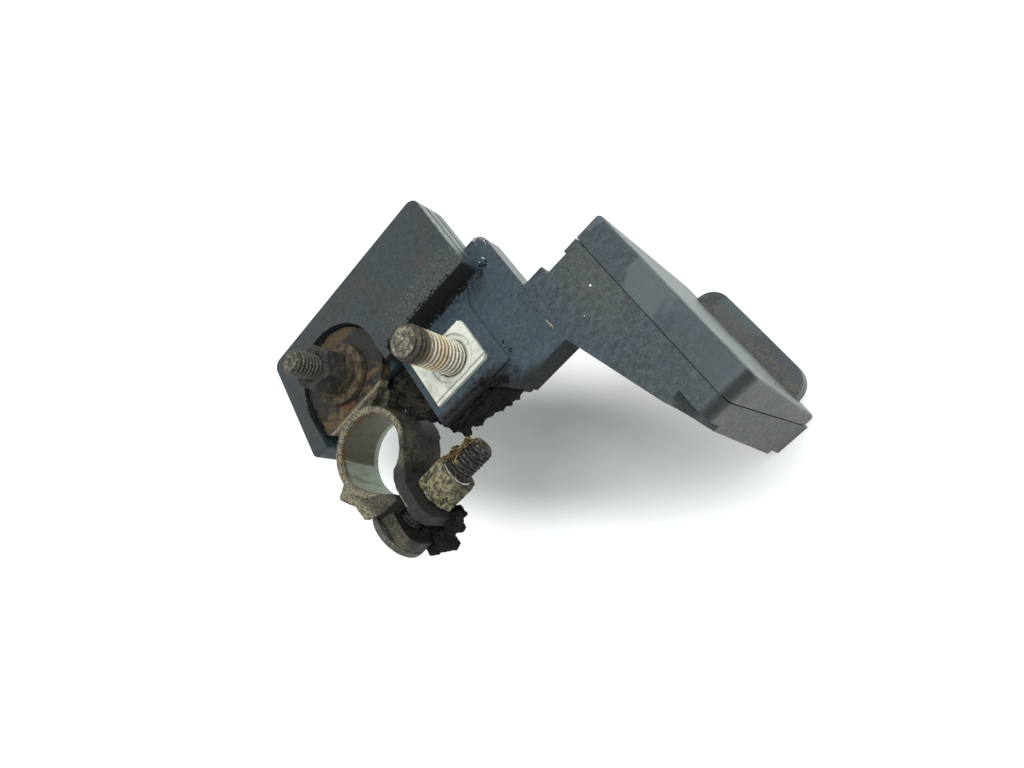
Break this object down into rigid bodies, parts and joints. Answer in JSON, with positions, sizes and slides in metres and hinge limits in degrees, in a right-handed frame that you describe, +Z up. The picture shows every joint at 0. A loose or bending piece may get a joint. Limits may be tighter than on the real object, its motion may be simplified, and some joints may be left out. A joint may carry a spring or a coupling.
{
  "type": "battery terminal clamp",
  "caption": "Battery post clamp on a moulded link carrier with a threaded cable stud and a side-hung fuse box whose lid swings open.",
  "frame": {"origin": "on the battery post's axis, at the underside of the clamp ring", "axes": "+Z up along the post and both studs, +X towards the fuse box's lid, -Y towards the clamp's ears"},
  "size_m": [0.0913, 0.0855, 0.0745],
  "materials": {
    "clamp_brass": "cast, dull and dirty",
    "black_plastic": "satin moulded, dusty",
    "plated_steel": "dull zinc plate, stained",
    "tinned_strip": "dull tin plate on copper alloy",
    "fuse_plastic": "moulded"
  },
  "bodies": {
    "holder": {"post_clamp": "clamp_brass", "carrier": "black_plastic", "link_plate": "tinned_strip", "feed_bar": "tinned_strip", "clamp_bolt": "plated_steel", "clamp_nut": "plated_steel", "tab_stud": "plated_steel", "tab_washer": "plated_steel", "spring_washer": "plated_steel", "tab_nut": "plated_steel", "cable_stud": "plated_steel", "fuse_stud_in_1": "plated_steel", "fuse_stud_out_1": "plated_steel", "fuse_stud_in_2": "plated_steel", "fuse_stud_out_2": "plated_steel", "fuse_stud_in_3": "plated_steel", "fuse_stud_out_3": "plated_steel", "fuse_nut_in_1": "plated_steel", "fuse_nut_out_1": "plated_steel", "fuse_nut_in_2": "plated_steel", "fuse_nut_out_2": "plated_steel", "fuse_nut_in_3": "plated_steel", "fuse_nut_out_3": "plated_steel", "fuse_blade_1": "tinned_strip", "fuse_blade_2": "tinned_strip", "fuse_blade_3": "tinned_strip", "outlet_plate_1": "tinned_strip", "outlet_plate_2": "tinned_strip", "outlet_plate_3": "tinned_strip", "fuse_housing_1": "fuse_plastic", "fuse_housing_2": "fuse_plastic", "fuse_housing_3": "fuse_plastic"},
    "lid": {"lid": "black_plastic"}
  },
  "joints": [
    {"name": "lid_hinge", "type": "hinge", "parent": "holder", "child": "lid", "pos_m": [0.0658, -0.0225, 0.0095], "axis": [0, -1, 0], "range_deg": [0, 110]}
  ]
}
